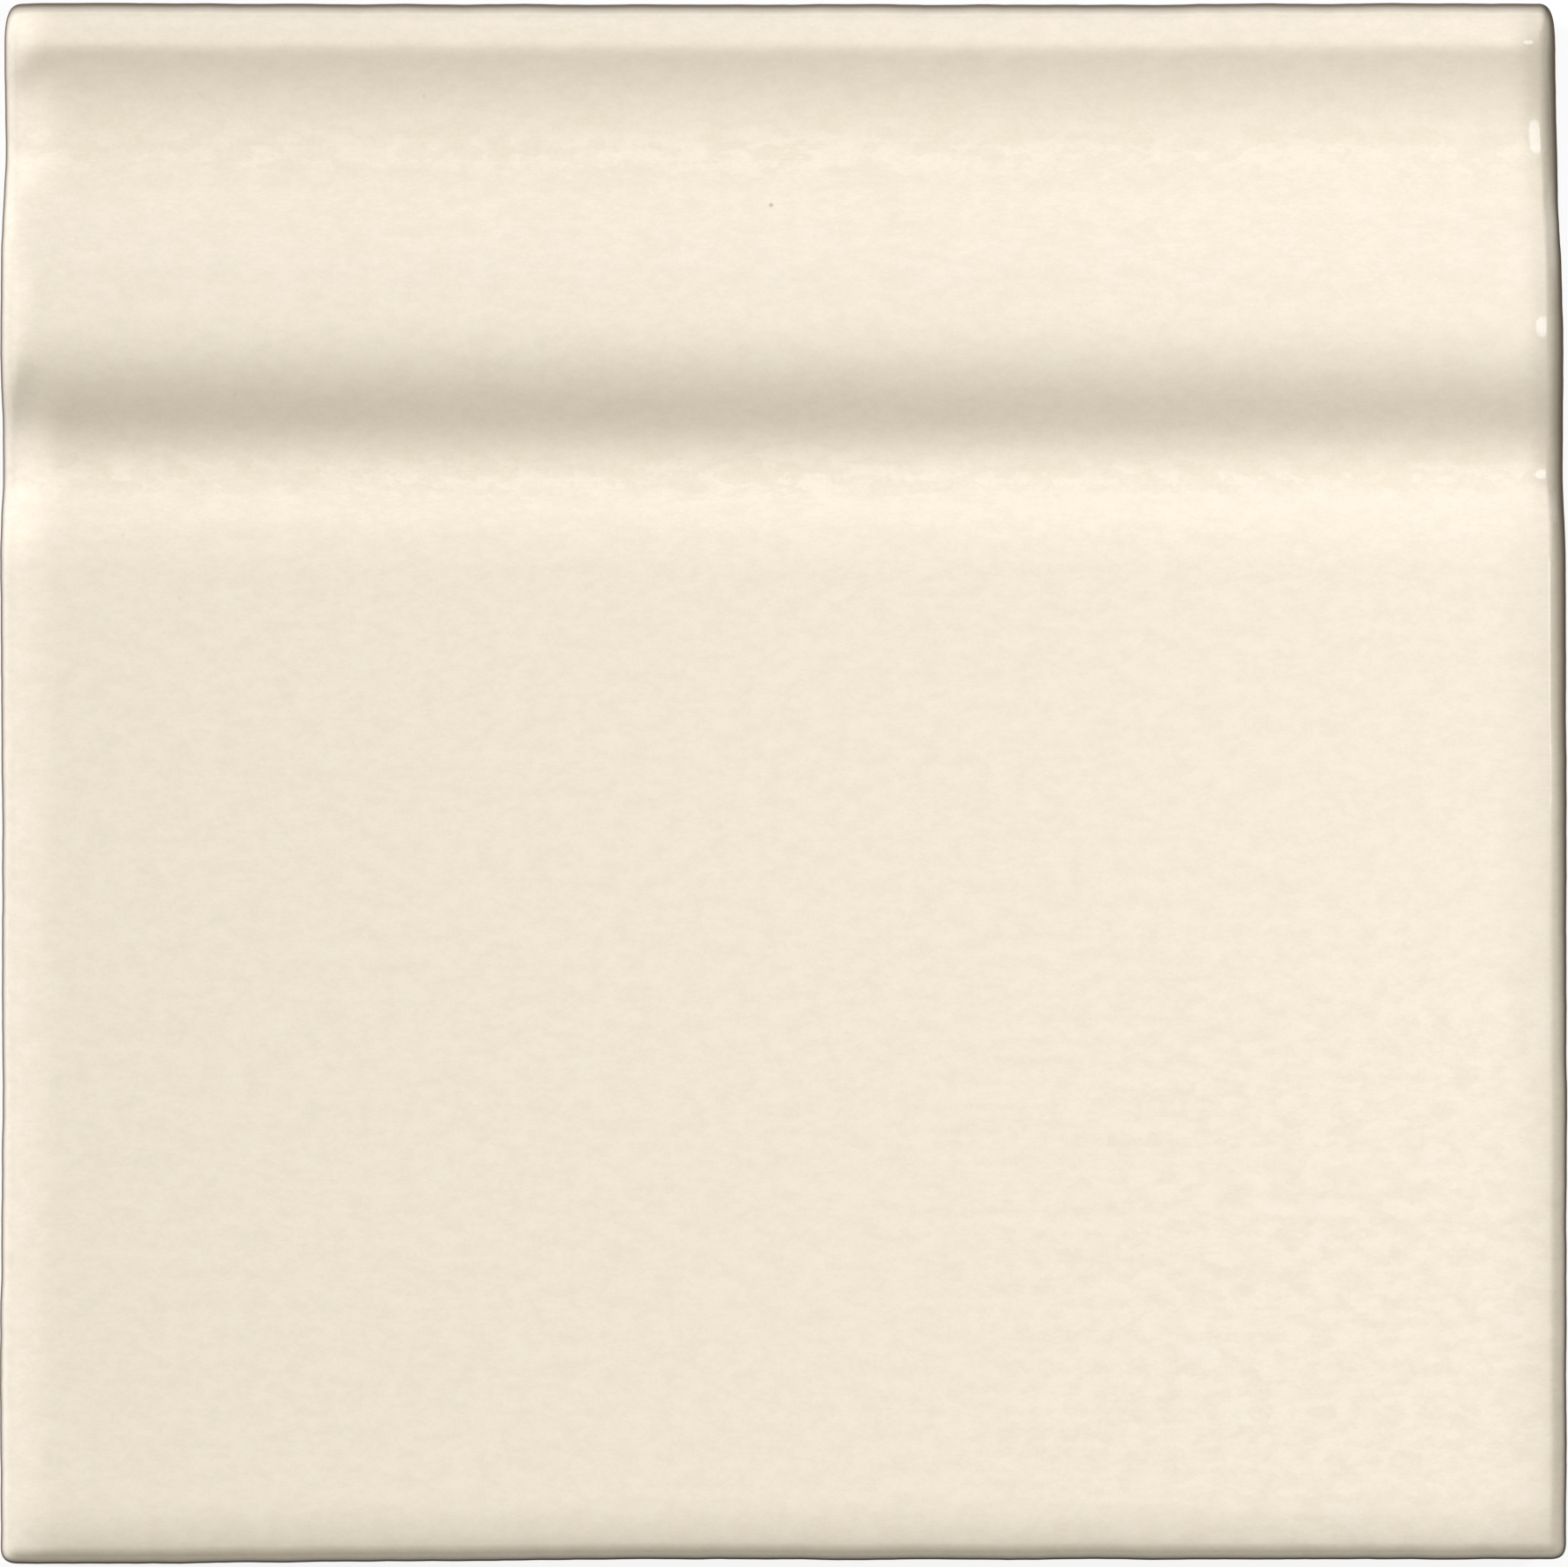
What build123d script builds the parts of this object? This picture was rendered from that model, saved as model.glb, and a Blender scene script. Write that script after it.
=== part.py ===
from build123d import *

import os
from math import atan2, cos, sin, tan

# Moulded ceramic skirting tile, one fired piece with a flat back.
# It lies on its back, face up: +X runs along the skirting, +Y towards the moulded top edge,
# and +Z out of the face. The origin is the middle of the back. Sizes are in millimetres.

# Overall size
tile_width = 127.0
tile_height = 127.0
field_thickness = 15.5

# Nose: the quarter-round top edge, whose crest is nose_radius below the edge
nose_radius = 3.3
nose_thickness = 11.0

# Moulding below the nose. A run is the distance down the face from one level line to the next.
cove_run = 8.8
cove_depth = 1.55
roll_run = 14.3
roll_thickness = 15.5
quirk_run = 12.3
quirk_depth = 2.9
shoulder_run = 7.2

# Where along each run the curve turns from round to hollow or back, from 0 at its upper end to 1
cove_turn = 0.08
roll_turn = 0.42
quirk_turn = 0.59
shoulder_turn = 0.33

# How full the rounds and hollows are: 1 is two arcs alone, and less leaves a straight slope between
fullness = 0.8

# Foot: the field falls away in an arc towards the lower edge, which is rounded
foot_run = 5.2
foot_drop = 0.8
foot_radius = 2.0

# Edges: the rounding of the two ends and their corners, and the bevel round the back
edge_radius = 1.5
back_bevel = 0.6

NODE = "skirting_tile"

# Level lines of the moulding, as (height up the face, thickness from the back)
top_edge = tile_height / 2
foot_edge = -tile_height / 2
nose_crest = Vector(top_edge - nose_radius, nose_thickness)
cove_bottom = nose_crest + Vector(-cove_run, -cove_depth)
roll_crest = Vector(cove_bottom.X - roll_run, roll_thickness)
quirk_bottom = roll_crest + Vector(-quirk_run, -quirk_depth)
field_top = Vector(quirk_bottom.X - shoulder_run, field_thickness)

# Corners of the rest of the section
nose_foot = Vector(top_edge, nose_thickness - nose_radius)
back_top = Vector(top_edge, 0)
back_foot = Vector(foot_edge, 0)
field_foot = Vector(foot_edge + foot_run, field_thickness)
foot_corner = Vector(foot_edge, field_thickness - foot_drop)

UP_THE_FACE = Vector(1, 0)


def moulding_stretch(upper, lower, turn):
    """Draw a round and a hollow, level where they start and end, with a straight slope between."""
    run = upper.X - lower.X
    rise = abs(lower.Y - upper.Y)
    slope = atan2(rise, run) * (1 + fullness)
    straight = rise / tan(slope / 2) - run
    outwards = 1 if lower.Y > upper.Y else -1
    down_the_slope = Vector(-cos(slope), sin(slope) * outwards)
    crossing = upper + (lower - upper) * turn
    slope_start = crossing - down_the_slope * straight * turn
    slope_end = crossing + down_the_slope * straight * (1 - turn)
    TangentArc(upper, slope_start, tangent=-UP_THE_FACE)
    Line(slope_start, slope_end)
    TangentArc(lower, slope_end, tangent=UP_THE_FACE)


with BuildPart() as tile:
    with BuildSketch(Plane.YZ):
        with BuildLine():
            Polyline(nose_foot, back_top, back_foot, foot_corner)
            TangentArc(field_foot, foot_corner, tangent=-UP_THE_FACE)
            Line(field_foot, field_top)
            moulding_stretch(quirk_bottom, field_top, shoulder_turn)
            moulding_stretch(roll_crest, quirk_bottom, quirk_turn)
            moulding_stretch(cove_bottom, roll_crest, roll_turn)
            moulding_stretch(nose_crest, cove_bottom, cove_turn)
            TangentArc(nose_crest, nose_foot, tangent=UP_THE_FACE)
        make_face()
    extrude(amount=tile_width / 2, both=True)

    # Round the foot, then the two ends and their corners
    foot_front = tile.edges().filter_by(Axis.X).group_by(Axis.Y)[0].sort_by(Axis.Z)[-1]
    fillet(foot_front, radius=foot_radius)
    end_edges = [
        edge
        for end_face in tile.faces().filter_by(Axis.X)
        for edge in end_face.edges()
        if edge.center().Z > 0
    ]
    fillet(end_edges, radius=edge_radius)

    # Bevel the back all round
    back_face = tile.faces().sort_by(Axis.Z)[0]
    chamfer(back_face.edges(), length=back_bevel)

os.makedirs("parts", exist_ok=True)
export_step(tile.part, f"parts/{NODE}.step")
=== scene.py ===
import math
from collections import namedtuple

import bmesh
import bpy
from bpy.props import FloatProperty, FloatVectorProperty, IntProperty, PointerProperty, StringProperty
from mathutils import Matrix, Vector, noise


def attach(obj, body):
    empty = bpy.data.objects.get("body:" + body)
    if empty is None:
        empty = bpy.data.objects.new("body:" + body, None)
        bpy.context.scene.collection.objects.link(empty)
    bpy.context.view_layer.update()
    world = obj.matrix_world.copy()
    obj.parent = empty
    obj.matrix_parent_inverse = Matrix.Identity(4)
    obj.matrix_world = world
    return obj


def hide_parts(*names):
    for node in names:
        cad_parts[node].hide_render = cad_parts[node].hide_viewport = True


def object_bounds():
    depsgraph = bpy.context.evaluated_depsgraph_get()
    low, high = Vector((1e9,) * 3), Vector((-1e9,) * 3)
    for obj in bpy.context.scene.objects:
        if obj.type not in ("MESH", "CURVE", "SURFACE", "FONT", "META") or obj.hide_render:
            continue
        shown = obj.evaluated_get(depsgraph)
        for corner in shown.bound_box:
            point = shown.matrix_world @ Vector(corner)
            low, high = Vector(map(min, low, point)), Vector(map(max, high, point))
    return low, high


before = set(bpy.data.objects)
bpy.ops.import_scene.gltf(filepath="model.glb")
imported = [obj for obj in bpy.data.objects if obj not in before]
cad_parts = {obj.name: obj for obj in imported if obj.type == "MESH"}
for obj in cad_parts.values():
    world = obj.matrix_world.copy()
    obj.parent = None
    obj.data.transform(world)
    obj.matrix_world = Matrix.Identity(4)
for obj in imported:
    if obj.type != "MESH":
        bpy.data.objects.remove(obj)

bl_info = {
    "name": "Skirting Tile",
    "version": (1, 0, 0),
    "blender": (4, 5, 0),
    "location": "3D View > Sidebar > Tile",
    "description": "Builds a glazed ceramic skirting tile on its CAD frame, with a plain studio around it",
    "category": "Add Mesh",
}

MM = 0.001
NODE = "skirting_tile"
SENSOR_MM = 36.0
CLIP_END = 10.0

# Vertex attributes of the glaze. The thin one is thin glaze and painted shade: it rises to GLAZED_SHARE
# where the glaze is drawn off and the edges are painted darker, and on to 1 along a dark line of painted
# shade at the rim.
THIN_GLAZE_AND_SHADE = "thin_glaze"
THICK_GLAZE_AND_LIGHT = "thick_glaze"
GLAZED_SHARE = 0.8

# Mesh lines in the rounding of each edge
EDGE_LINES = 10

# Seeds of the uneven places, so that they come out the same each time
WARP_SEED = 21.0
THICK_SEED = 33.0
GLAZE_LINE_SEED = 5.3
WAVER_SEEDS = {"right": 3.1, "left": 7.7, "top": 11.3, "foot": 15.9}

# How a wandering line is made up: how fast its finer wanders weaken, how much finer each one is than the
# one before, and how many there are
GLAZE_LINE_WANDERS = (1.0, 2.0, 3)
EDGE_WANDERS = (0.6, 2.3, 4)

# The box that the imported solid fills
CAD_LOW, CAD_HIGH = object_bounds()
HALF_WIDTH = (CAD_HIGH.x - CAD_LOW.x) / 2
HALF_HEIGHT = (CAD_HIGH.y - CAD_LOW.y) / 2
THICKNESS = CAD_HIGH.z

# Places up the face where the moulding is level
LevelLines = namedtuple("LevelLines", "cove_bottom roll_crest quirk_bottom field_top")

# A point of the face: its plan; how far round the end and the side it is, from -1 to 1; how far round
# the nearer edge, from 0 to 1 at the rim; its lean, from 0 at an end to 1 at the top or foot; and the
# radius of the rounding there
FacePlace = namedtuple("FacePlace", "x y across along reach lean radius")


def length(name, description, millimetres):
    """A length property, with its default given in millimetres."""
    default = millimetres * MM
    return FloatProperty(name=name, description=description, default=default, unit="LENGTH", precision=5)


def ratio(name, description, default):
    """A plain number between 0 and 1."""
    return FloatProperty(name=name, description=description, default=default, min=0.0, max=1.0)


def amount(name, description, default):
    """A plain number from 0 upwards."""
    return FloatProperty(name=name, description=description, default=default, min=0.0)


def paint(name, description, hex_colour):
    """A colour property, as sRGB hex."""
    return StringProperty(name=name, description=f"{description}, sRGB", default=hex_colour)


def spot(name, description, metres, subtype="TRANSLATION"):
    """A place in the studio, or a direction."""
    return FloatVectorProperty(name=name, description=description, default=metres, subtype=subtype)


def linear(hex_colour):
    """An sRGB colour such as #F0E6D2, as linear red, green, blue and alpha."""
    channels = [int(hex_colour[i:i + 2], 16) / 255 for i in (1, 3, 5)]
    return [c / 12.92 if c <= 0.04045 else ((c + 0.055) / 1.055) ** 2.4 for c in channels] + [1.0]


def tint(hex_colour):
    """A light's colour from an sRGB one, with its green at 1 so that the light's level stays as set."""
    red, green, blue, _ = linear(hex_colour)
    return red / green, 1.0, blue / green


def ease(value, start, run):
    """0 up to start, 1 from start plus run onwards, and an even ease between."""
    share = min(1.0, max(0.0, (value - start) / run))
    return share * share * (3 - 2 * share)


def between(first, second, share):
    """What lies a share of the way from the first value to the second."""
    return first + (second - first) * share


def wander(x, y, span, seed):
    """Smooth unevenness from -1 to 1 over a plan."""
    return noise.noise(Vector((x / span, y / span, seed)))


class TILE_PG_section(bpy.types.PropertyGroup):
    """The tile's moulded section, as in its solid apart from a tighter rounding of the foot"""

    nose_radius: length("Nose radius", "Quarter-round of the top edge", 3.3)
    nose_thickness: length("Nose thickness", "Thickness at the crest of the nose", 11.0)
    cove_run: length("Cove run", "From the nose's crest down to the bottom of the cove", 8.8)
    cove_depth: length("Cove depth", "From the nose's crest to the bottom of the cove", 1.55)
    roll_run: length("Roll run", "From the bottom of the cove down to the crest of the roll", 14.3)
    quirk_run: length("Quirk run", "From the crest of the roll down to the bottom of the quirk", 12.3)
    quirk_depth: length("Quirk depth", "From the crest of the roll to the bottom of the quirk", 2.9)
    shoulder_run: length("Shoulder run", "From the bottom of the quirk down to the flat field", 7.2)
    cove_turn: ratio("Cove turn", "Where the nose's round becomes the cove", 0.08)
    roll_turn: ratio("Roll turn", "Where the cove becomes the roll", 0.42)
    quirk_turn: ratio("Quirk turn", "Where the roll becomes the quirk", 0.59)
    shoulder_turn: ratio("Shoulder turn", "Where the quirk becomes the shoulder", 0.33)
    fullness: ratio("Fullness", "1 is rounds and hollows alone, less leaves a straight slope between", 0.8)
    foot_run: length("Foot run", "How far up the field its fall to the foot begins", 5.2)
    foot_drop: length("Foot drop", "How far the field falls to the foot", 0.8)
    foot_radius: length("Foot radius", "Rounding of the front lower edge", 1.5)
    edge_radius: length("Edge radius", "Rounding of the two ends", 1.5)
    back_bevel: length("Back bevel", "Bevel round the back", 0.6)


class TILE_PG_handwork(bpy.types.PropertyGroup):
    """What moulding by hand, drying and firing leave on the tile"""

    columns: IntProperty(name="Columns", description="Mesh columns across the face", default=190, min=60)
    rows: IntProperty(name="Rows", description="Mesh rows up the face", default=236, min=60)

    # The outline
    top_bow: length("Top bow", "How far the top edge draws in at its middle", 0.17)
    foot_lean: length("Foot lean", "How far the foot draws in, from its middle on to its right corner", 0.36)
    left_bow: length("Left bow", "How far the left end draws in below its middle", 0.15)
    left_lean: length("Left lean", "How far the left end draws in at its top corner", 0.05)
    right_lean: length("Right lean", "How far the right end draws in at its top corner", 0.62)
    squareness: amount("Squareness", "Corners in plan, from 2 for round upwards", 3.0)
    waver: length("Waver", "How far the edges wander", 0.16)
    waver_span: length("Waver span", "Distance from one wander of an edge to the next", 11.0)

    # The left end
    left_pillow: length("Left pillow", "How far the field sinks towards its left end", 0.8)
    left_pillow_width: length("Left pillow width", "How far in from the left end it begins to sink", 4.2)
    left_slope_width: length("Left slope width", "How far in from the left end its slope stays even", 2.0)
    roll_pillow: length("Roll pillow", "How far the roll's upper half sinks towards its left end", 0.35)
    roll_pillow_width: length("Roll pillow width", "How far in from the left end it begins to sink", 2.6)
    mitre_slope: amount("Mitre slope", "Slope of the mitred left end below the roll's crest", 0.35)
    mitre_width: length("Mitre width", "Width of that slope where it is narrowest", 0.95)
    mitre_rise: length("Mitre rise", "How far above the bottom of the quirk that is", 4.6)
    mitre_flare: amount("Mitre flare", "How fast it widens from there up to the roll", 0.17)
    nose_slope: amount("Nose slope", "Slope of the left end of the nose", 0.486)
    nose_width: length("Nose width", "Width of that slope at the top edge", 3.8)
    nose_mitre_width: length("Nose mitre width", "Its width where the nose meets the cove", 3.1)
    hollow_pillow: length("Hollow pillow", "How far the hollows sink towards their left end", 1.5)
    hollow_pillow_width: length("Hollow pillow width", "How far in from there they begin to sink", 5.0)
    hollow_slope_width: length("Hollow slope width", "How far in from there their slope stays even", 2.6)

    # The right end
    right_pillow: length("Right pillow", "How far the field sinks towards its right end", 0.36)
    right_pillow_width: length("Right pillow width", "How far in from the right end it begins to sink", 6.0)
    band_pillow: length("Band pillow", "How far the moulded band sinks towards its right end", 0.62)
    band_pillow_width: length("Band pillow width", "How far in from the right end it begins to sink", 3.2)
    top_pillow: length("Top pillow", "How far the top edge sinks towards its right end", 0.9)
    top_pillow_width: length("Top pillow width", "How far in from the right end it begins to sink", 3.5)
    right_crease: amount("Right crease", "Slope of the right end below its crease", 0.55)
    crease_end: length("Crease end", "Place up the face where the crease has softened away", -10.0)
    crease_fade: length("Crease fade", "Run up the face from there to where it is sharp", 24.0)

    # The face and the walls
    warp: length("Warp", "Long unevenness of the face", 0.06)
    warp_span: length("Warp span", "Distance from one high place to the next", 26.0)
    glaze_line: length("Glaze line", "Height above the back where the glaze ends", 3.0)
    glaze_run: length("Glaze run", "How far the glaze's lower edge runs up and down", 0.9)
    glaze_run_span: length("Glaze run span", "Distance from one run of that edge to the next", 9.0)
    glaze_coat: length("Glaze coat", "Thickness of the glaze where it ends", 0.14)


class TILE_PG_finish(bpy.types.PropertyGroup):
    """Glaze and clay of the tile, and the colours of the floor under it"""

    cream: paint("Cream", "Glaze where it is thick", "#EFE2D0")
    thin_cream: paint("Thin cream", "Glaze where it is thin", "#E7DBC7")
    flake_depth: ratio("Flake depth", "How far the flakes stand out, as a share of thick to thin", 0.45)
    # Colour that the edges and sides darken towards: partly glaze drawn off, partly painted shade
    bare_and_shaded_cream: paint("Bare cream", "Glaze drawn off the edges and sides", "#6E6250")
    # A dark line of painted shade along the very rim
    painted_rim_shade: paint("Bare rim", "Line along the very edge where the glaze breaks", "#5C4830")
    rim_width: length("Rim width", "Width of that line, seen from above", 0.22)
    # Where the edges start to darken: partly thin glaze, partly painted shade, soonest on the right end,
    # away from the window
    painted_shade_left_edge: ratio("Thin edge", "How much thinner the glaze is over the left end's rounding", 0.09)
    thin_and_shade_left: ratio("Thin left", "How far round the left end the glaze begins to thin", 0.7)
    thin_and_shade_right: ratio("Thin right", "How far round the right end the glaze begins to thin", 0.13)
    thin_and_shade_low_right: ratio("Thin low right", "The same near the lower right corner", 0.58)
    painted_shade_slopes: ratio("Thin slopes", "How much the slope of the moulding shifts that at the right end", 0.4)
    thin_and_shade_top: ratio("Thin top", "How far round the top edge the glaze begins to thin", 0.66)
    thin_and_shade_foot: ratio("Thin foot", "How far round the foot the glaze begins to thin", 0.64)
    speck: paint("Speck", "Pinholes in the glaze", "#B9AB8C")
    biscuit: paint("Biscuit", "Bare clay of the back", "#D8C6A6")
    biscuit_dark: paint("Dark biscuit", "Darker grains of the bare clay", "#BFA981")
    floor: paint("Floor", "Studio floor as the eye sees it", "#FAFAFA")
    floor_bounce: paint("Floor bounce", "Light that the floor throws back", "#7E7C78")


class TILE_PG_studio(bpy.types.PropertyGroup):
    """Camera and lamps. A level is the share of the light on the face that comes from there"""

    camera_height: length("Camera height", "Camera above the face", 1050.0)
    frame_width: length("Frame width", "Width of the picture at the face", 126.76)
    frame_right: length("Frame right", "How far right of the tile's middle the picture is centred", 0.05)
    frame_up: length("Frame up", "How far above the tile's middle the picture is centred", -0.18)
    floor_size: length("Floor size", "Half the width of the floor", 3000.0)
    floor_gap: length("Floor gap", "Hair's breadth between the floor and the tile's back", 0.02)
    floor_white: ratio("Floor white", "How much of the floor's look is plain white", 0.88)
    lamp_place: spot("Lamp place", "Small lamp beyond the right end", (0.21, 0.04, 0.36))
    lamp_size: length("Lamp size", "Width of the small lamp", 35.0)
    lamp_level: amount("Lamp level", "Light from the small lamp", 0.261)
    glint_place: spot("Glint place", "Small light mirrored in the right end", (0.23, 0.05, 0.435))
    glint_size: length("Glint size", "Width of the mirrored light", 105.0)
    glint_glow: amount("Glint glow", "Brightness of the mirrored light", 5.0)
    side_colour: paint("Side colour", "Colour of the lamp, mirrored light and window", "#F1F5FF")
    window_from: spot("Window from", "Where the low light comes from", (-2.7, 1.5, 1.0), "DIRECTION")
    window_angle: FloatProperty(
        name="Window angle",
        description="How broad the low light is",
        default=math.radians(20),
        subtype="ANGLE",
    )
    window_level: amount("Window level", "Light from the window", 0.366)
    ceiling_glow: amount("Ceiling glow", "Brightness of the ceiling straight above", 1.84)
    ceiling_colour: paint("Ceiling colour", "Colour of the ceiling", "#FBF9E7")
    ceiling_spread: amount("Ceiling spread", "How fast the ceiling darkens outwards", 10.0)
    wall_glow: amount("Wall glow", "Brightness of the walls of the room", 0.05)


def level_lines(section):
    """Where the moulding is level, from the bottom of the cove down to the top of the field."""
    cove_bottom = HALF_HEIGHT - section.nose_radius - section.cove_run
    roll_crest = cove_bottom - section.roll_run
    quirk_bottom = roll_crest - section.quirk_run
    return LevelLines(cove_bottom, roll_crest, quirk_bottom, quirk_bottom - section.shoulder_run)


def moulding_stretch(upper, lower, turn, fullness):
    """Height along one stretch of the moulding: a round and a hollow with a straight slope between.

    upper and lower are (place up the face, height) where the stretch is level.
    """
    run = upper[0] - lower[0]
    rise = abs(lower[1] - upper[1])
    sense = 1 if lower[1] < upper[1] else -1
    slope = math.atan2(rise, run) * (1 + fullness)
    straight = rise / math.tan(slope / 2) - run
    radii = (run - straight * math.cos(slope)) / math.sin(slope)
    upper_radius = radii * turn
    lower_radius = radii * (1 - turn)
    slope_top = upper[0] - upper_radius * math.sin(slope)
    slope_bottom = lower[0] + lower_radius * math.sin(slope)
    slope_top_height = upper[1] - sense * upper_radius * (1 - math.cos(slope))

    def height(y):
        if y >= slope_top:
            return upper[1] - sense * (upper_radius - math.sqrt(upper_radius ** 2 - (upper[0] - y) ** 2))
        if y <= slope_bottom:
            return lower[1] + sense * (lower_radius - math.sqrt(lower_radius ** 2 - (y - lower[0]) ** 2))
        return slope_top_height - sense * (slope_top - y) * math.tan(slope)

    return height


def face_section(section, levels):
    """A function from a place up the face to the face's height, before its edges are rounded."""
    nose = (HALF_HEIGHT - section.nose_radius, section.nose_thickness)
    cove = (levels.cove_bottom, section.nose_thickness - section.cove_depth)
    roll = (levels.roll_crest, THICKNESS)
    quirk = (levels.quirk_bottom, THICKNESS - section.quirk_depth)
    field = (levels.field_top, THICKNESS)
    stretches = [
        (cove[0], moulding_stretch(nose, cove, section.cove_turn, section.fullness)),
        (roll[0], moulding_stretch(cove, roll, section.roll_turn, section.fullness)),
        (quirk[0], moulding_stretch(roll, quirk, section.quirk_turn, section.fullness)),
        (field[0], moulding_stretch(quirk, field, section.shoulder_turn, section.fullness)),
    ]
    foot_start = -HALF_HEIGHT + section.foot_run
    foot_arc = (section.foot_run ** 2 + section.foot_drop ** 2) / (2 * section.foot_drop)

    def height(y):
        if y >= nose[0]:
            return nose[1]
        for lower_end, stretch in stretches:
            if y >= lower_end:
                return stretch(y)
        if y >= foot_start:
            return THICKNESS
        return THICKNESS - foot_arc + math.sqrt(foot_arc ** 2 - (foot_start - y) ** 2)

    return height


def spread_line(index, count, half, low_radius, high_radius):
    """Place of a mesh line, and how far round the edge it is: -1 at the low edge, 1 at the high one."""
    if index < EDGE_LINES:
        turned = math.sin(math.pi / 2 * (EDGE_LINES - index) / EDGE_LINES)
        return -half + low_radius * (1 - turned), -turned
    if index > count - EDGE_LINES:
        turned = math.sin(math.pi / 2 * (index - count + EDGE_LINES) / EDGE_LINES)
        return half - high_radius * (1 - turned), turned
    share = (index - EDGE_LINES) / (count - 2 * EDGE_LINES)
    return between(-half + low_radius, half - high_radius, share), 0.0


def face_place(column, row, section, handwork):
    """Where two mesh lines cross. A square corner of the grid is drawn onto a tightly rounded one."""
    end_radius = section.edge_radius
    x, across = spread_line(column, handwork.columns, HALF_WIDTH, end_radius, end_radius)
    y, along = spread_line(row, handwork.rows, HALF_HEIGHT, section.foot_radius, section.nose_radius)
    side_radius = section.nose_radius if along > 0 else section.foot_radius
    reach = max(abs(across), abs(along))
    if reach == 0:
        return FacePlace(x, y, across, along, reach, 0.0, end_radius)
    power = handwork.squareness
    drawn_in = reach / (abs(across) ** power + abs(along) ** power) ** (1 / power)
    x += across * (drawn_in - 1) * end_radius
    y += along * (drawn_in - 1) * side_radius
    lean = along ** 2 / (across ** 2 + along ** 2)
    return FacePlace(x, y, across, along, reach, lean, between(end_radius, side_radius, lean))


def rounded_off(place, handwork):
    """How far the rounding of the edges has dropped at a place.

    The right end breaks from the face in a crease, which softens down the tile.
    """
    crease = 0.0
    if place.across > 0:
        sharpness = ease(place.y, handwork.crease_end, handwork.crease_fade)
        crease = handwork.right_crease * (1 - place.lean) * sharpness
    crease_start = math.sin(math.pi / 2 / EDGE_LINES)
    # The round gives way by this share of the crease's slope, so that the crease stays clear of it
    round_gives = 0.035
    rounded = max(0.0, 1 - math.sqrt(1 - place.reach ** 2) - round_gives * crease)
    return place.radius * max(crease * (place.reach - crease_start), rounded)


def sunk(inset, depth, width, slope_width=0.0):
    """How far the face has sunk at an inset from its end: an even slope that eases out to level at width."""
    slope = 2 * depth / (width + slope_width)
    if inset >= width:
        return 0.0
    if inset >= slope_width:
        return slope * (width - inset) ** 2 / (2 * (width - slope_width))
    return depth - slope * inset


def mitred(inset, slope, width, even_share):
    """The same for a slope that is even over a share of its width."""
    depth = slope * width * (1 + even_share) / 2
    return sunk(inset, depth, width, even_share * width)


def left_band_sunk(inset, y, levels, handwork):
    """How far the moulded band has sunk towards its left end, below the nose.

    Below the roll's crest the end is mitred: its slope narrows down to the quirk.
    """
    even_share, fade = 0.75, 6 * MM
    mitre_bottom = levels.quirk_bottom + handwork.mitre_rise
    mitre_width = handwork.mitre_width + handwork.mitre_flare * max(0.0, y - mitre_bottom)
    on_mitre = mitred(inset, handwork.mitre_slope, mitre_width, even_share)
    on_roll = sunk(inset, handwork.roll_pillow, handwork.roll_pillow_width)
    return between(on_mitre, on_roll, ease(y, levels.roll_crest, fade))


def left_nose_sunk(inset, y, levels, section, handwork):
    """How far the nose has sunk towards its left end, in a slope that narrows towards the cove."""
    even_share = 0.4
    cove_end, fade = levels.cove_bottom + 0.8 * section.cove_run, 0.4 * section.cove_run
    width = between(handwork.nose_mitre_width, handwork.nose_width, ease(y, cove_end, fade))
    return mitred(inset, handwork.nose_slope, width, even_share)


def beside_hollow(y, levels, section):
    """1 beside the quirk and the cove, where the left end sinks broadly, and 0 beside roll and nose."""
    quirk_side, quirk_fade = 2.5 * MM, 7 * MM
    cove_side, cove_fade = 0.5 * section.cove_run, 0.4 * section.cove_run
    roll_fade = 5 * MM
    beside_quirk = 1 - ease(y, levels.quirk_bottom + quirk_side, quirk_fade)
    below_nose = 1 - ease(y, levels.cove_bottom + cove_side, cove_fade)
    above_roll = ease(y, levels.cove_bottom - roll_fade, roll_fade)
    return max(beside_quirk, below_nose * above_roll)


def sunk_at_ends(place, levels, section, handwork):
    """How far the face has sunk towards the nearer end."""
    y = place.y
    inset = HALF_WIDTH - abs(place.x)
    if place.x < 0:
        on_field = sunk(inset, handwork.left_pillow, handwork.left_pillow_width, handwork.left_slope_width)
        on_band = left_band_sunk(inset, y, levels, handwork)
        on_top = left_nose_sunk(inset, y, levels, section, handwork)
        on_hollow = sunk(
            inset, handwork.hollow_pillow, handwork.hollow_pillow_width, handwork.hollow_slope_width
        )
        hollow = beside_hollow(y, levels, section)
    else:
        on_field = sunk(inset, handwork.right_pillow, handwork.right_pillow_width)
        on_band = sunk(inset, handwork.band_pillow, handwork.band_pillow_width)
        on_top = sunk(inset, handwork.top_pillow, handwork.top_pillow_width)
        on_hollow = hollow = 0.0
    top_fade = 0.7 * section.cove_run
    on_moulding = between(on_band, on_top, ease(y, levels.cove_bottom, top_fade))
    on_moulding = between(on_moulding, on_hollow, hollow)
    return between(on_field, on_moulding, ease(y, levels.field_top, section.shoulder_run))


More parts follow.
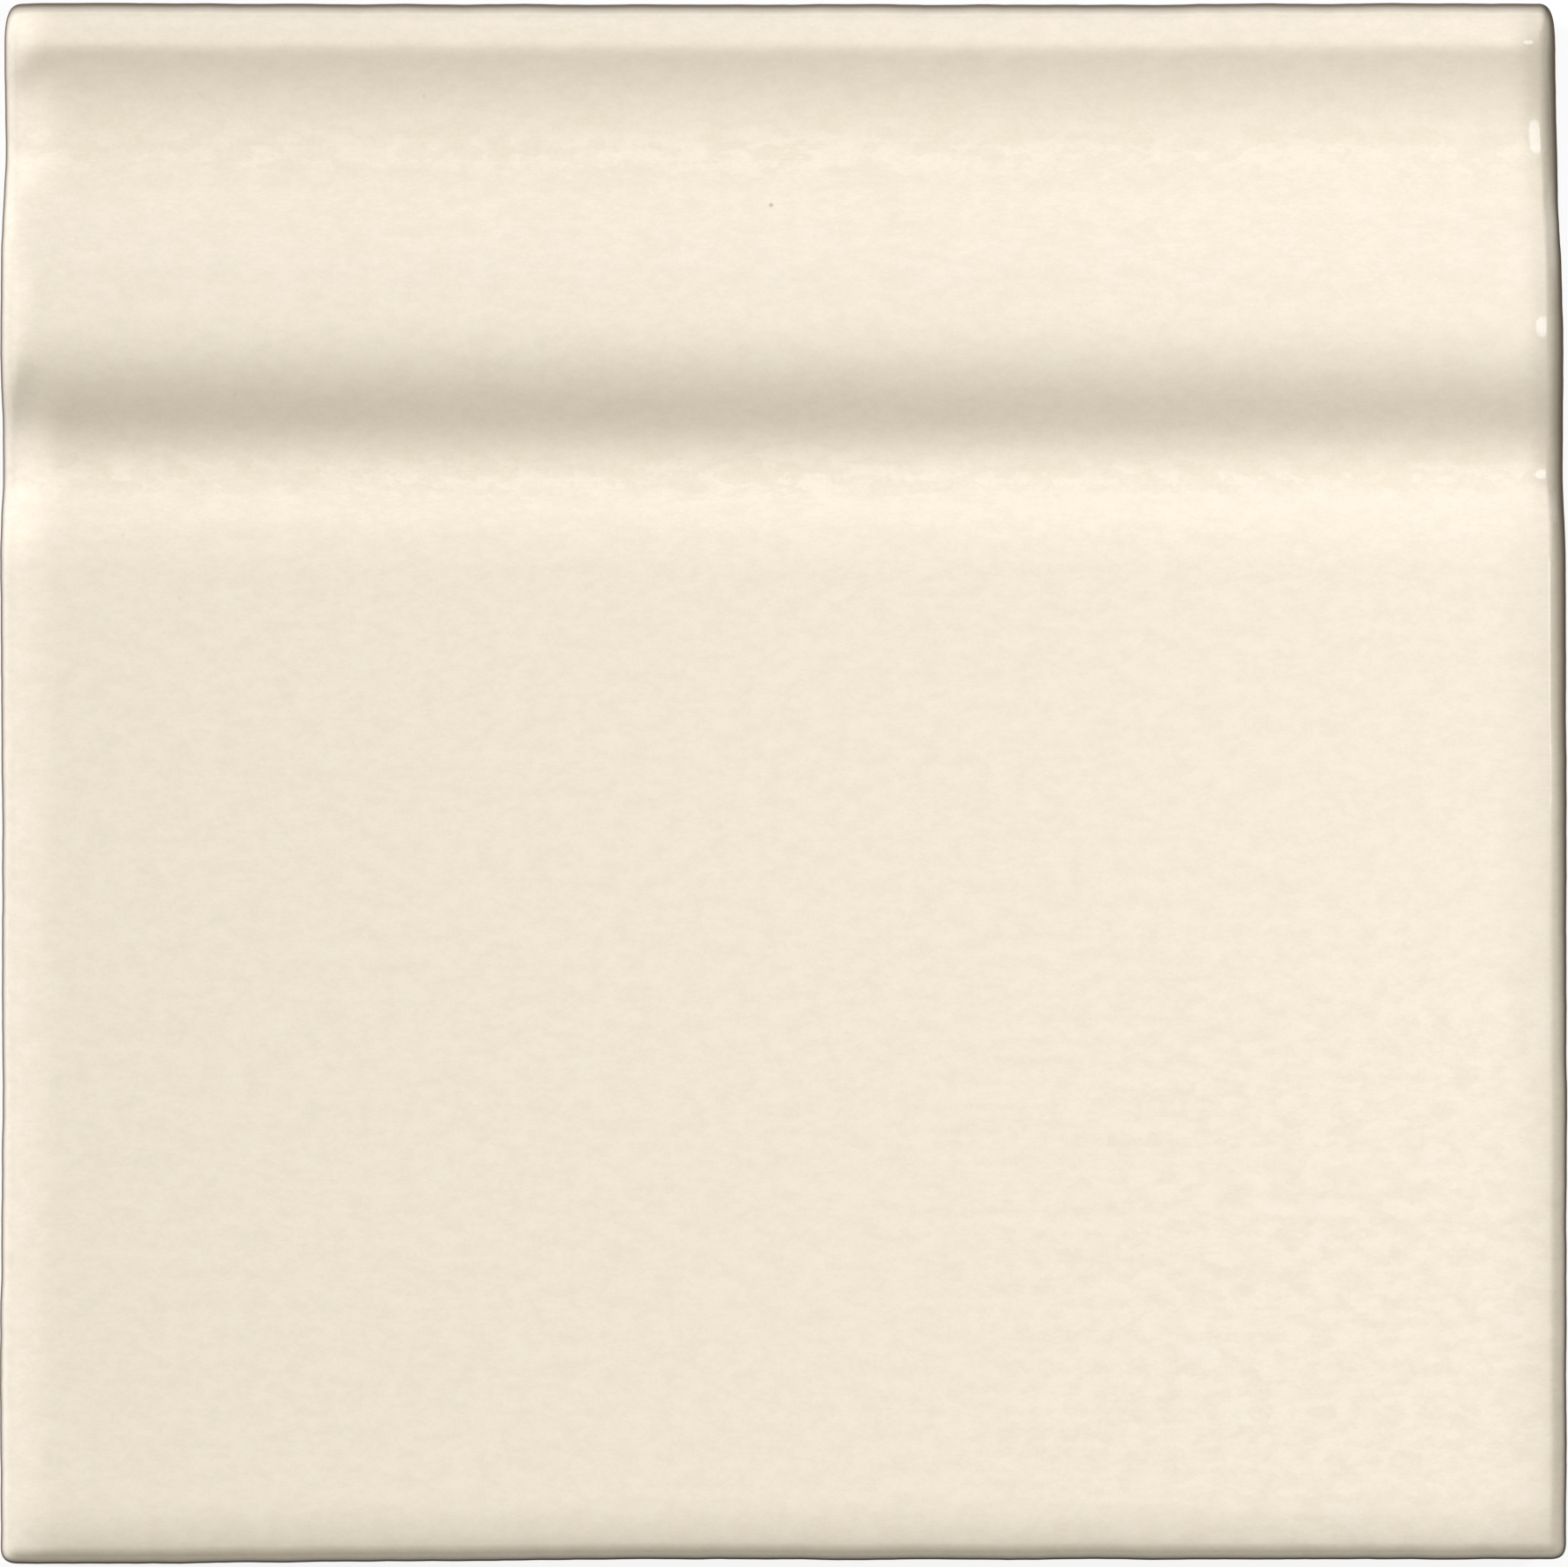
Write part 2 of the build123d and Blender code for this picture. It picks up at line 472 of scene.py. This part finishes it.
def glaze_thinned_and_shaded(place, facing_up, levels, finish):
    """The thin-glaze attribute with its painted shade: it rises over the edges, soonest at the shaded right
    end and last at the left.

    facing_up is the slope of the moulding there, above 0 where it faces up the tile.
    """
    right_low, right_rise = -45 * MM, 70 * MM
    right_start = between(finish.thin_and_shade_low_right, finish.thin_and_shade_right, ease(place.y, right_low, right_rise))
    # On the band, slopes that face down the tile, away from the window, get painted shade sooner than those
    # that face up
    band_fade = 4 * MM
    on_band = ease(place.y, levels.quirk_bottom, band_fade)
    right_start = max(0.0, right_start + finish.painted_shade_slopes * facing_up * on_band)
    end_start = finish.thin_and_shade_left if place.across < 0 else right_start
    side_start = finish.thin_and_shade_foot if place.along < 0 else finish.thin_and_shade_top
    start = between(end_start, side_start, place.lean)
    # A little painted shade over the left end's rounding, to hold down the window's light there
    left_turn = 0.35
    left_edge = finish.painted_shade_left_edge * (1 - place.lean) * ease(-place.across, 0.0, left_turn)
    drawn_off = max(ease(place.reach, start, 1 - start), left_edge)
    # A dark line of painted shade along the very rim
    painted_rim_line = 1 - ease((1 - place.reach) * place.radius, 0.0, finish.rim_width)
    return drawn_off * GLAZED_SHARE + painted_rim_line * (1 - GLAZED_SHARE)


def glaze_thickened_and_lit(place, levels):
    """The thick-glaze attribute with its painted light: paler flakes in a pool in the lower right, where the
    light falls brightest, a run in each hollow, some at the bright left end.
    """
    pool_middle, pool_core, pool_fade = (46 * MM, -42 * MM), 12 * MM, 34 * MM
    pool_waver, pool_waver_span = 8 * MM, 12 * MM
    away = math.dist((place.x, place.y), pool_middle)
    away += pool_waver * wander(place.x, place.y, pool_waver_span, THICK_SEED)
    in_pool = 1 - ease(away, pool_core, pool_fade)
    hollow_depth, hollow_width = 1.5, 1.8 * MM
    from_hollow = min(abs(place.y - levels.cove_bottom), abs(place.y - levels.quirk_bottom))
    in_hollow = hollow_depth * math.exp(-(from_hollow / hollow_width) ** 2)
    left_depth, left_width, left_fade = 0.6, 2 * MM, 3 * MM
    at_left = left_depth * (1 - ease(place.x + HALF_WIDTH, left_width, left_fade))
    return max(in_pool, in_hollow, at_left)


def drape_face(bm, section, handwork, finish):
    """Lay a flat grid over the moulded face, and mark where its glaze is thin or thick, with the painted
    shade and light that those carry.
    """
    levels = level_lines(section)
    height = face_section(section, levels)
    half_step = 0.5 * MM
    thin_and_shade = bm.verts.layers.float.new(THIN_GLAZE_AND_SHADE)
    thick_and_light = bm.verts.layers.float.new(THICK_GLAZE_AND_LIGHT)
    columns, rows = handwork.columns, handwork.rows
    grid = bmesh.ops.create_grid(bm, x_segments=columns, y_segments=rows, size=0.5)
    for vert in grid["verts"]:
        column = round((vert.co.x + 0.5) * columns)
        row = round((vert.co.y + 0.5) * rows)
        place = face_place(column, row, section, handwork)
        drop = rounded_off(place, handwork) + sunk_at_ends(place, levels, section, handwork)
        warp = 0.5 + 0.5 * wander(place.x, place.y, handwork.warp_span, WARP_SEED)
        vert.co = (place.x, place.y, height(place.y) - drop - handwork.warp * warp)
        facing_up = (height(place.y - half_step) - height(place.y + half_step)) / (2 * half_step)
        vert[thin_and_shade] = glaze_thinned_and_shaded(place, facing_up, levels, finish)
        vert[thick_and_light] = glaze_thickened_and_lit(place, levels)


def lower_rim(bm, rim, shape, thinness_and_shade=1.0):
    """Extrude the open rim of the mesh, place its new vertices with shape, and return the new rim."""
    thin_and_shade = bm.verts.layers.float[THIN_GLAZE_AND_SHADE]
    made = bmesh.ops.extrude_edge_only(bm, edges=rim)["geom"]
    for vert in (item for item in made if isinstance(item, bmesh.types.BMVert)):
        vert.co = shape(vert.co)
        vert[thin_and_shade] = thinness_and_shade
    return [edge for edge in made if isinstance(edge, bmesh.types.BMEdge) and edge.is_boundary]


def glaze_end(point, handwork):
    """Height of the glaze's wavering lower edge, below a point of the rim."""
    around = Vector((point.x, point.y, 0)) / handwork.glaze_run_span + Vector((0, 0, GLAZE_LINE_SEED))
    return handwork.glaze_line + handwork.glaze_run * noise.fractal(around, *GLAZE_LINE_WANDERS)


def glazed_walls(bm, handwork):
    """Draw the walls down from the rim to the lower edge of the glaze, and return that edge."""
    # Height of each loop of the wall, from the one above or from the glaze's end, and its thinness, which
    # darkens the wall partly as painted shade
    loops = (
        # The loop just below the rim stays dark: painted shade that carries the rim's line onto the wall
        (lambda p: p.z - 0.25 * MM, 0.6),
        (lambda p: p.z - 0.65 * MM, 0.18),
        (lambda p: min(p.z - 0.3 * MM, glaze_end(p, handwork) + 2.0 * MM), 0.08),
        (lambda p: glaze_end(p, handwork) + 0.35 * MM, 0.2),
        (lambda p: glaze_end(p, handwork) + 0.1 * MM, 0.34),
    )
    rim = [edge for edge in bm.edges if edge.is_boundary]
    for height, thinness_and_shade in loops:
        rim = lower_rim(bm, rim, lambda p: Vector((p.x, p.y, height(p))), thinness_and_shade)
    return rim


def bare_clay(bm, rim, section, handwork):
    """Close the tile below its glaze with bare clay: the foot of the walls, the bevel and the back."""

    def inset_plan(point, inset, z):
        return Vector((point.x * (1 - inset / HALF_WIDTH), point.y * (1 - inset / HALF_HEIGHT), z))

    rim = lower_rim(bm, rim, lambda p: inset_plan(p, handwork.glaze_coat, glaze_end(p, handwork)))
    rim = lower_rim(bm, rim, lambda p: inset_plan(p, 0.0, section.back_bevel))
    rim = lower_rim(bm, rim, lambda p: inset_plan(p, section.back_bevel, 0.0))
    bmesh.ops.holes_fill(bm, edges=rim, sides=0)


def waver(along, handwork, seed):
    """How far an edge draws in at a place along it, wandering unevenly."""
    wanders = noise.fractal(Vector((along / handwork.waver_span, 0.0, seed)), *EDGE_WANDERS)
    return handwork.waver * max(0.0, 0.5 + 0.5 * wanders)


def hand_shape(point, handwork):
    """Draw the plan in where drying and handling have left its edges short of square."""
    x, y = point.x / HALF_WIDTH, point.y / HALF_HEIGHT
    end = "right" if x > 0 else "left"
    side = "top" if y > 0 else "foot"
    if end == "right":
        lean_power = 1.6
        end_inset = handwork.right_lean * max(0.0, y) ** lean_power
    else:
        lean_power, bow_middle, bow_half = 8, -0.25, 0.45
        end_inset = handwork.left_lean * max(0.0, y) ** lean_power
        end_inset += handwork.left_bow * max(0.0, 1 - ((y - bow_middle) / bow_half) ** 2)
    if side == "top":
        side_inset = handwork.top_bow * (1 - x * x)
    else:
        lean_start, lean_run = -0.95, 0.8
        side_inset = handwork.foot_lean * ease(x, lean_start, lean_run)
    end_inset += waver(point.y, handwork, WAVER_SEEDS[end])
    side_inset += waver(point.x, handwork, WAVER_SEEDS[side])
    return Vector((point.x - x * end_inset, point.y - y * side_inset, point.z))


def node_adder(owner):
    """A function that adds a node to a material or world with its settings and links, and returns it."""
    tree = owner.node_tree

    def add(kind, settings=(), inputs=()):
        node = tree.nodes.new(kind)
        for name, value in dict(settings).items():
            setattr(node, name, value)
        for name, value in dict(inputs).items():
            if isinstance(value, bpy.types.NodeSocket):
                tree.links.new(value, node.inputs[name])
            else:
                node.inputs[name].default_value = value
        return node

    return add


def emptied(owner):
    """A material or world with its nodes in use and cleared."""
    owner.use_nodes = True
    owner.node_tree.nodes.clear()
    return owner


# Pinholes in the glaze: place along and up the face and width in millimetres, and depth of colour
PINHOLES = (
    (-1.0, 46.8, 0.36, 0.8),
    (-48.8, 14.8, 0.34, 0.22),
    (-29.2, 55.7, 0.34, 0.25),
    (-53.4, 19.9, 0.34, 0.2),
    (-44.4, 31.3, 0.34, 0.2),
)


def cream_glaze(finish):
    """Cream earthenware glaze, poured and fired to a gloss.

    The eye sees a glassy cream skin with a fine cloudy grain, paler flakes drawn out along the tile as
    painted light where the light falls brightest, a few pinholes, edges darkened partly by thin glaze and
    partly by painted shade, and a dry brown line of painted shade along the rim.
    """
    material = emptied(bpy.data.materials.new("cream_earthenware_glaze"))
    add = node_adder(material)
    place = add("ShaderNodeTexCoord").outputs["Object"]
    plan = add("ShaderNodeMapping", inputs={"Vector": place, "Scale": (1, 1, 0)}).outputs["Vector"]
    thin_and_shade = add("ShaderNodeAttribute", {"attribute_name": THIN_GLAZE_AND_SHADE}).outputs["Fac"]
    thick_and_light = add("ShaderNodeAttribute", {"attribute_name": THICK_GLAZE_AND_LIGHT}).outputs["Fac"]

    # Clouds in the glaze: width of the broadest in millimetres, how many times as long as wide it is,
    # detail and roughness
    clouds = {}
    for name, span_mm, stretch, detail, roughness in (
        ("grain", 1.3, 1.6, 5.0, 1.0),
        ("flakes", 1.3, 1.8, 3.0, 0.6),
        ("ripple", 3.0, 1.0, 1.0, 0.5),
    ):
        drawn_out = add("ShaderNodeMapping", inputs={"Vector": place, "Scale": (1 / stretch, 1, 1)})
        clouds[name] = add(
            "ShaderNodeTexNoise",
            inputs={
                "Vector": drawn_out.outputs["Vector"],
                "Scale": 1 / (span_mm * MM),
                "Detail": detail,
                "Roughness": roughness,
            },
        ).outputs["Fac"]

    # Ramps: what each one follows, where along that it starts and ends, and the values it eases between
    flake_low, flake_high = -0.35 * finish.flake_depth, 0.65 * finish.flake_depth
    dry_start, dry_end = 0.4 * GLAZED_SHARE, 0.9 * GLAZED_SHARE
    gloss, dry = 0.08, 0.9
    ramps = {
        "grain": (clouds["grain"], 0.36, 0.64, 0.0, 1.0),
        "flakes": (clouds["flakes"], 0.475, 0.525, flake_low, flake_high),
        "painted_rim_line": (thin_and_shade, GLAZED_SHARE, 1.0, 0.0, 1.0),
        "roughness": (thin_and_shade, dry_start, dry_end, gloss, dry),
    }
    for hole, (x_mm, y_mm, width_mm, depth) in enumerate(PINHOLES):
        middle = (x_mm * MM, y_mm * MM, 0)
        away = add("ShaderNodeVectorMath", {"operation": "DISTANCE"}, {0: plan, 1: middle})
        edge, core = 0.75 * width_mm * MM, 0.15 * width_mm * MM
        ramps[hole] = (away.outputs["Value"], edge, core, 0.0, depth)
    eased = {}
    for name, (follows, start, end, first, last) in ramps.items():
        eased[name] = add(
            "ShaderNodeMapRange",
            {"interpolation_type": "SMOOTHSTEP"},
            {"Value": follows, "From Min": start, "From Max": end, "To Min": first, "To Max": last},
        ).outputs["Result"]
    coat = add(
        "ShaderNodeMath",
        {"operation": "MULTIPLY_ADD"},
        {0: eased["flakes"], 1: thick_and_light, 2: eased["grain"]},
    )
    off_edges_and_shade = add("ShaderNodeMath", {"operation": "DIVIDE", "use_clamp": True}, {0: thin_and_shade, 1: GLAZED_SHARE})

    # Colours laid over the thin cream, each by its share
    layers = [
        # Grain, and paler flakes that are painted light where the light falls brightest
        (coat.outputs["Value"], finish.cream),
        # Edges darkened: partly thin glaze, partly painted shade
        (off_edges_and_shade.outputs["Value"], finish.bare_and_shaded_cream),
        # A dark line of painted shade along the rim
        (eased["painted_rim_line"], finish.painted_rim_shade),
    ]
    layers += [(eased[hole], finish.speck) for hole in range(len(PINHOLES))]
    colour = linear(finish.thin_cream)
    for share, over in layers:
        colour = add(
            "ShaderNodeMix",
            {"data_type": "RGBA", "clamp_factor": False},
            {"Factor": share, "A": colour, "B": linear(over)},
        ).outputs["Result"]

    ripple_height = 0.02 * MM
    bump = add(
        "ShaderNodeBump",
        inputs={"Height": clouds["ripple"], "Distance": ripple_height, "Strength": 1.0},
    )
    shader = add(
        "ShaderNodeBsdfPrincipled",
        inputs={
            "Base Color": colour,
            "Roughness": eased["roughness"],
            "IOR": 1.5,
            "Normal": bump.outputs["Normal"],
        },
    )
    add("ShaderNodeOutputMaterial", inputs={"Surface": shader.outputs["BSDF"]})
    return material


def buff_biscuit(finish):
    """Biscuit-fired earthenware, pressed smooth against the bench.

    The eye sees dry, matt buff clay with a fine grit and soft darker smudges.
    """
    material = emptied(bpy.data.materials.new("buff_biscuit"))
    add = node_adder(material)
    grit_mm, smudge_mm = 0.5, 12.0
    grit_height = 0.1 * MM
    place = add("ShaderNodeTexCoord").outputs["Object"]
    grit = add(
        "ShaderNodeTexNoise",
        inputs={"Vector": place, "Scale": 1 / (grit_mm * MM), "Detail": 4.0, "Roughness": 0.7},
    ).outputs["Fac"]
    smudge = add(
        "ShaderNodeTexNoise",
        inputs={"Vector": place, "Scale": 1 / (smudge_mm * MM), "Detail": 3.0},
    ).outputs["Fac"]
    both = add("ShaderNodeMath", {"operation": "MULTIPLY"}, {0: grit, 1: smudge}).outputs["Value"]
    darker = add(
        "ShaderNodeMapRange",
        inputs={"Value": both, "From Min": 0.15, "From Max": 0.5, "To Min": 0.0, "To Max": 1.0},
    ).outputs["Result"]
    colour = add(
        "ShaderNodeMix",
        {"data_type": "RGBA"},
        {"Factor": darker, "A": linear(finish.biscuit), "B": linear(finish.biscuit_dark)},
    ).outputs["Result"]
    bump = add("ShaderNodeBump", inputs={"Height": grit, "Distance": grit_height, "Strength": 0.6})
    shader = add(
        "ShaderNodeBsdfPrincipled",
        inputs={"Base Color": colour, "Roughness": 0.85, "Normal": bump.outputs["Normal"]},
    )
    add("ShaderNodeOutputMaterial", inputs={"Surface": shader.outputs["BSDF"]})
    return material


def studio_floor(finish, studio):
    """Pale matt board that keeps a soft shadow: white to the eye, and greyer in the light it throws back."""
    material = emptied(bpy.data.materials.new("studio_floor"))
    add = node_adder(material)
    rays = add("ShaderNodeLightPath").outputs
    seen = rays["Is Camera Ray"]
    for kind in ("Is Glossy Ray", "Is Transmission Ray"):
        seen = add("ShaderNodeMath", {"operation": "MAXIMUM"}, {0: seen, 1: rays[kind]}).outputs["Value"]
    colour = add(
        "ShaderNodeMix",
        {"data_type": "RGBA"},
        {"Factor": seen, "A": linear(finish.floor_bounce), "B": linear(finish.floor)},
    ).outputs["Result"]
    board = add("ShaderNodeBsdfDiffuse", inputs={"Color": colour}).outputs["BSDF"]
    white = add("ShaderNodeEmission", inputs={"Color": (1, 1, 1, 1), "Strength": 1.0}).outputs["Emission"]
    share = add("ShaderNodeMath", {"operation": "MULTIPLY"}, {0: seen, 1: studio.floor_white})
    surface = add("ShaderNodeMixShader", inputs={0: share.outputs["Value"], 1: board, 2: white})
    add("ShaderNodeOutputMaterial", inputs={"Surface": surface.outputs["Shader"]})
    return material


def studio_room(studio):
    """A room whose ceiling glows most straight above and whose walls are dim."""
    world = emptied(bpy.data.worlds.new("studio"))
    add = node_adder(world)
    direction = add("ShaderNodeTexCoord").outputs["Generated"]
    upwards = add("ShaderNodeSeparateXYZ", inputs={"Vector": direction}).outputs["Z"]
    upwards = add("ShaderNodeMath", {"operation": "MAXIMUM"}, {0: upwards, 1: 0.0}).outputs["Value"]
    gathered = add("ShaderNodeMath", {"operation": "POWER"}, {0: upwards, 1: studio.ceiling_spread})
    glow = add(
        "ShaderNodeMath",
        {"operation": "MULTIPLY_ADD"},
        {0: gathered.outputs["Value"], 1: studio.ceiling_glow, 2: studio.wall_glow},
    ).outputs["Value"]
    ceiling = (*tint(studio.ceiling_colour), 1.0)
    background = add("ShaderNodeBackground", inputs={"Color": ceiling, "Strength": glow})
    add("ShaderNodeOutputWorld", inputs={"Surface": background.outputs["Background"]})
    return world


def object_from(bm, name):
    """A new object at the origin that holds a bmesh."""
    mesh = bpy.data.meshes.new(name)
    bm.to_mesh(mesh)
    bm.free()
    piece = bpy.data.objects.new(name, mesh)
    bpy.context.scene.collection.objects.link(piece)
    return piece


def hang_light(name, kind, place, away, colour):
    """A new light that shines back along the direction away, neither seen nor mirrored itself."""
    light = bpy.data.lights.new(name, kind)
    light.color = tint(colour)
    holder = bpy.data.objects.new(name, light)
    holder.location = place
    holder.rotation_mode = "QUATERNION"
    holder.rotation_quaternion = away.to_track_quat("Z", "Y")
    holder.visible_camera = False
    holder.visible_glossy = False
    bpy.context.scene.collection.objects.link(holder)
    return holder


def hang_lights(studio):
    """A lamp and a mirrored light beyond the right end, and a low window to the left."""
    face_middle = Vector((0, 0, THICKNESS))
    to_lamp = Vector(studio.lamp_place) - face_middle
    lamp = hang_light("lamp", "AREA", studio.lamp_place, to_lamp, studio.side_colour)
    lamp.data.shape = "DISK"
    lamp.data.size = studio.lamp_size
    lamp.data.energy = studio.lamp_level * math.pi ** 2 * to_lamp.length ** 3 / to_lamp.z
    to_glint = Vector(studio.glint_place) - face_middle
    glint = hang_light("glint", "AREA", studio.glint_place, to_glint, studio.side_colour)
    glint.data.shape = "DISK"
    glint.data.size = studio.glint_size
    glint.data.energy = studio.glint_glow * (math.pi * studio.glint_size / 2) ** 2
    glint.visible_glossy = True
    to_window = Vector(studio.window_from).normalized()
    window = hang_light("window", "SUN", to_window, to_window, studio.side_colour)
    window.data.angle = studio.window_angle
    window.data.energy = studio.window_level * math.pi / to_window.z


class TILE_OT_tile(bpy.types.Operator):
    """Model the glazed tile over its solid"""

    bl_idname = "tile.tile"
    bl_label = "Skirting tile"

    def execute(self, context):
        scene = context.scene
        section, handwork, finish = scene.tile_section, scene.tile_handwork, scene.tile_finish
        bm = bmesh.new()
        drape_face(bm, section, handwork, finish)
        glaze_edge = glazed_walls(bm, handwork)
        glazed = set(bm.faces)
        bare_clay(bm, glaze_edge, section, handwork)
        for vert in bm.verts:
            vert.co = hand_shape(vert.co, handwork)
        bmesh.ops.recalc_face_normals(bm, faces=bm.faces)
        for face in bm.faces:
            face.smooth = True
            face.material_index = 0 if face in glazed else 1
        # Only the bevel round the back keeps sharp edges
        sharp_angle, bevel_top = math.radians(30), 1.5 * section.back_bevel
        for edge in bm.edges:
            if edge.calc_face_angle(0) > sharp_angle and max(v.co.z for v in edge.verts) < bevel_top:
                edge.smooth = False
        piece = object_from(bm, "glazed_tile")
        piece.data.materials.append(cream_glaze(finish))
        piece.data.materials.append(buff_biscuit(finish))
        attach(piece, "root")
        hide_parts(NODE)
        return {"FINISHED"}


class TILE_OT_stage(bpy.types.Operator):
    """Set out the floor, camera, lamps and world"""

    bl_idname = "tile.stage"
    bl_label = "Studio"

    def execute(self, context):
        scene = context.scene
        finish, studio = scene.tile_finish, scene.tile_studio
        bm = bmesh.new()
        below_back = Matrix.Translation((0, 0, -studio.floor_gap))
        bmesh.ops.create_grid(bm, x_segments=1, y_segments=1, size=studio.floor_size, matrix=below_back)
        floor = object_from(bm, "floor")
        floor.data.materials.append(studio_floor(finish, studio))

        camera = bpy.data.objects.new("camera", bpy.data.cameras.new("camera"))
        camera.location = (studio.frame_right, studio.frame_up, THICKNESS + studio.camera_height)
        camera.data.sensor_width = SENSOR_MM
        camera.data.lens = SENSOR_MM * studio.camera_height / studio.frame_width
        camera.data.clip_end = CLIP_END
        scene.collection.objects.link(camera)
        scene.camera = camera

        hang_lights(studio)
        scene.world = studio_room(studio)
        scene.view_settings.view_transform = "Standard"
        return {"FINISHED"}


class TILE_PT_panel(bpy.types.Panel):
    """The tile's pieces, sizes and colours"""

    bl_idname = "TILE_PT_panel"
    bl_label = "Skirting tile"
    bl_space_type = "VIEW_3D"
    bl_region_type = "UI"
    bl_category = "Tile"

    def draw(self, context):
        for operator in (TILE_OT_tile, TILE_OT_stage):
            self.layout.operator(operator.bl_idname)
        for group_name in PROPERTY_GROUPS:
            group = getattr(context.scene, group_name)
            for name in group.bl_rna.properties.keys():
                if name not in ("rna_type", "name"):
                    self.layout.prop(group, name)


PROPERTY_GROUPS = {
    "tile_section": TILE_PG_section,
    "tile_handwork": TILE_PG_handwork,
    "tile_finish": TILE_PG_finish,
    "tile_studio": TILE_PG_studio,
}
CLASSES = (*PROPERTY_GROUPS.values(), TILE_OT_tile, TILE_OT_stage, TILE_PT_panel)


def register():
    for cls in CLASSES:
        bpy.utils.register_class(cls)
    for name, group in PROPERTY_GROUPS.items():
        setattr(bpy.types.Scene, name, PointerProperty(type=group))


def unregister():
    for name in PROPERTY_GROUPS:
        delattr(bpy.types.Scene, name)
    for cls in reversed(CLASSES):
        bpy.utils.unregister_class(cls)


def main():
    register()
    bpy.ops.tile.tile()
    bpy.ops.tile.stage()


if __name__ == "__main__":
    main()
